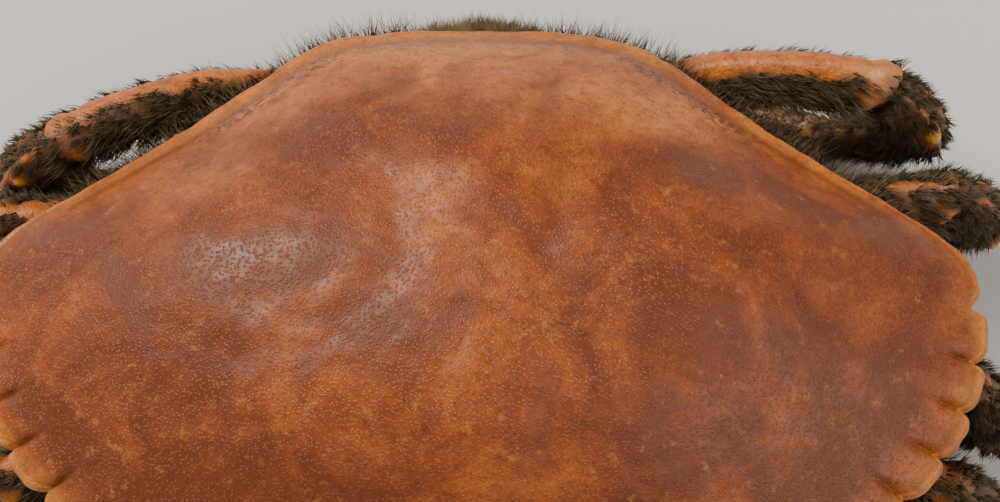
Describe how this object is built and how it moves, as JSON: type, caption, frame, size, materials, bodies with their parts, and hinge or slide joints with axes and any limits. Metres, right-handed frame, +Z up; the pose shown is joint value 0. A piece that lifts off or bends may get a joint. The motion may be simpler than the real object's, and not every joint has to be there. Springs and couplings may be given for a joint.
{
  "type": "brown crab",
  "caption": "Cooked brown crab lying on its folded legs, with a broad oval shell with a crimped edge, heavy claws folded in front and a wide tail flap beneath.",
  "frame": {"origin": "on the floor under the middle of the bounding box", "axes": "+X to the crab's left side, -Y to its head, +Z up"},
  "size_m": [0.1894, 0.135, 0.0676],
  "materials": {
    "shell": "satin",
    "underside": "satin",
    "leg_shell": "satin",
    "claw_shell": "satin",
    "finger_shell": "glossy",
    "eye": "glossy"
  },
  "bodies": {
    "root": {"body": "underside", "carapace": "shell", "claw_left_arm": "claw_shell", "claw_left_finger": "finger_shell", "claw_left_hand": "claw_shell", "claw_left_wrist": "claw_shell", "claw_right_arm": "claw_shell", "claw_right_finger": "finger_shell", "claw_right_hand": "claw_shell", "claw_right_wrist": "claw_shell", "eye_left": "eye", "eye_right": "eye", "feeler_left": "claw_shell", "feeler_right": "claw_shell", "inner_feeler_left": "claw_shell", "inner_feeler_right": "claw_shell", "leg2_left_carpus": "leg_shell", "leg2_left_dactyl": "leg_shell", "leg2_left_merus": "leg_shell", "leg2_left_propodus": "leg_shell", "leg2_right_carpus": "leg_shell", "leg2_right_dactyl": "leg_shell", "leg2_right_merus": "leg_shell", "leg2_right_propodus": "leg_shell", "leg3_left_carpus": "leg_shell", "leg3_left_dactyl": "leg_shell", "leg3_left_merus": "leg_shell", "leg3_left_propodus": "leg_shell", "leg3_right_carpus": "leg_shell", "leg3_right_dactyl": "leg_shell", "leg3_right_merus": "leg_shell", "leg3_right_propodus": "leg_shell", "leg4_left_carpus": "leg_shell", "leg4_left_dactyl": "leg_shell", "leg4_left_merus": "leg_shell", "leg4_left_propodus": "leg_shell", "leg4_right_carpus": "leg_shell", "leg4_right_dactyl": "leg_shell", "leg4_right_merus": "leg_shell", "leg4_right_propodus": "leg_shell", "leg5_left_carpus": "leg_shell", "leg5_left_dactyl": "leg_shell", "leg5_left_merus": "leg_shell", "leg5_left_propodus": "leg_shell", "leg5_right_carpus": "leg_shell", "leg5_right_dactyl": "leg_shell", "leg5_right_merus": "leg_shell", "leg5_right_propodus": "leg_shell", "mouth_plate_left": "underside", "mouth_plate_right": "underside", "tail_flap": "underside", "tail_rear": "underside"}
  },
  "joints": []
}
